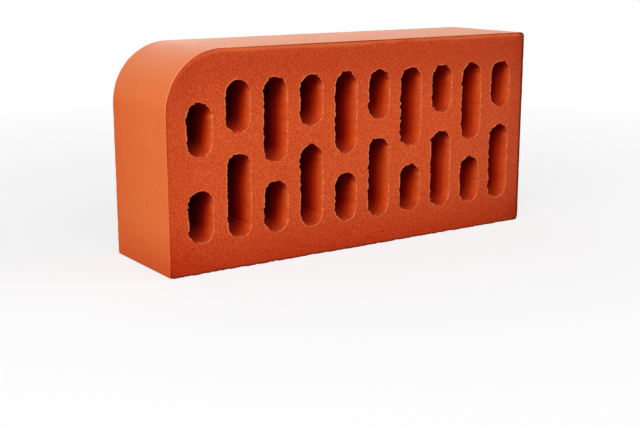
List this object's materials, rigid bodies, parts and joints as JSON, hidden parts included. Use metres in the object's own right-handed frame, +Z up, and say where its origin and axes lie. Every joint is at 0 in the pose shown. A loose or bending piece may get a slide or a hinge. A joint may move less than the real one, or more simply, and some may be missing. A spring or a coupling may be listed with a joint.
{
  "type": "perforated facing brick",
  "caption": "Fired clay facing brick with slots through its thickness and one large rounded corner.",
  "frame": {"origin": "middle of the long side that the brick stands on, at floor level", "axes": "+X along the length, away from the rounded corner; +Y through the thickness, along the slots; +Z up"},
  "size_m": [0.25, 0.065, 0.12],
  "materials": {
    "fired_clay": "matte, smooth where extruded, sandy where wire-cut"
  },
  "bodies": {
    "root": {"brick": "fired_clay"}
  },
  "joints": []
}
